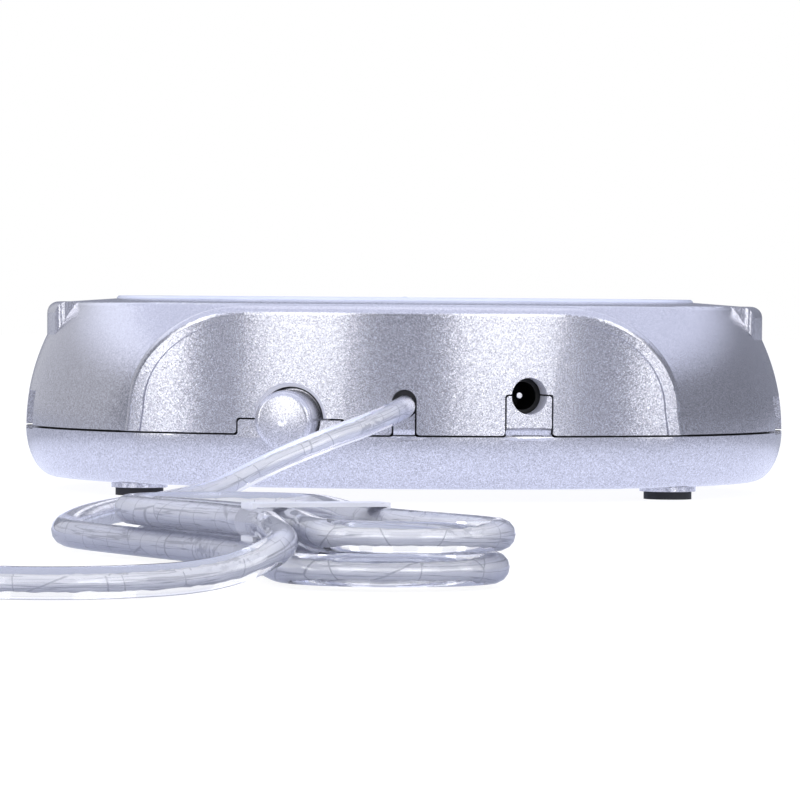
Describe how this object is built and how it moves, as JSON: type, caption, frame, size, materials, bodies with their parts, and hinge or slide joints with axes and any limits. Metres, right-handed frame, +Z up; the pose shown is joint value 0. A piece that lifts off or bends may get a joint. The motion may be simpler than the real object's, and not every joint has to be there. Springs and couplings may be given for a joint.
{
  "type": "electric mug warmer",
  "caption": "Round silver cup warmer with a flat heating plate, a rear panel with push button, cable slot and power jack, side hub sockets, and a clear hanked cord",
  "frame": {"origin": "centre of the case on the standing surface", "axes": "+Z up, the rear panel with the button, cord and jack faces -Y, the sockets face -X and +X"},
  "size_m": [0.1388, 0.4111, 0.0333],
  "materials": {
    "silver_paint": "metallic silver paint over ABS, satin",
    "black_rubber": "matt",
    "zinc_screw": "zinc plated",
    "ring_plastic": "glossy pale blue",
    "plate_metal": "anodised, satin",
    "element_film": "amber film",
    "felt": "white ceramic felt",
    "cutoff_metal": "plain",
    "retainer_steel": "plain sheet",
    "lead_wire": "red sleeve",
    "board": "green solder mask",
    "chip": "moulded",
    "bright_metal": "bright nickel",
    "capacitor_sleeve": "dark sleeve",
    "black_plastic": "moulded black",
    "white_plastic": "moulded white",
    "lamp": "clear epoxy",
    "clear_cable": "clear PVC over foil and braid",
    "tie_plastic": "soft white",
    "socket_metal": "nickel plated, folded"
  },
  "bodies": {
    "case": {"board_screws": "zinc_screw", "button_spring": "bright_metal", "cable_grommet": "black_plastic", "cable_tail": "clear_cable", "capacitors": "capacitor_sleeve", "case_screws": "zinc_screw", "circuit_board": "board", "cord_end": "clear_cable", "cord_hank": "clear_cable", "crystal_can": "bright_metal", "hank_tie": "tie_plastic", "heater_film": "element_film", "heater_leads": "lead_wire", "heater_retainer": "retainer_steel", "heating_plate": "plate_metal", "hub_chip": "chip", "indicator_led": "lamp", "insulation_pad": "felt", "jack_body": "black_plastic", "jack_pin": "bright_metal", "jack_spring": "bright_metal", "led_leads": "lead_wire", "lower_shell": "silver_paint", "plate_ring": "ring_plastic", "plug_overmould": "clear_cable", "plug_shell": "socket_metal", "plug_tongue": "white_plastic", "retainer_screws": "zinc_screw", "rubber_feet": "black_rubber", "socket_shell_left_front": "socket_metal", "socket_shell_left_rear": "socket_metal", "socket_shell_right_front": "socket_metal", "socket_shell_right_rear": "socket_metal", "socket_tongue_left_front": "white_plastic", "socket_tongue_left_rear": "white_plastic", "socket_tongue_right_front": "white_plastic", "socket_tongue_right_rear": "white_plastic", "switch_body": "black_plastic", "tail_connector": "white_plastic", "thermal_cutoff": "cutoff_metal", "upper_shell": "silver_paint", "usb_cord": "clear_cable"},
    "button": {"power_button": "silver_paint", "button_plunger": "white_plastic"}
  },
  "joints": [
    {"name": "power_button", "type": "slide", "parent": "case", "child": "button", "axis": [0.2419, 0.9703, 0], "range_m": [0, 0.0025], "stiffness_N_per_m": 800, "deforming": ["button_spring"]}
  ]
}
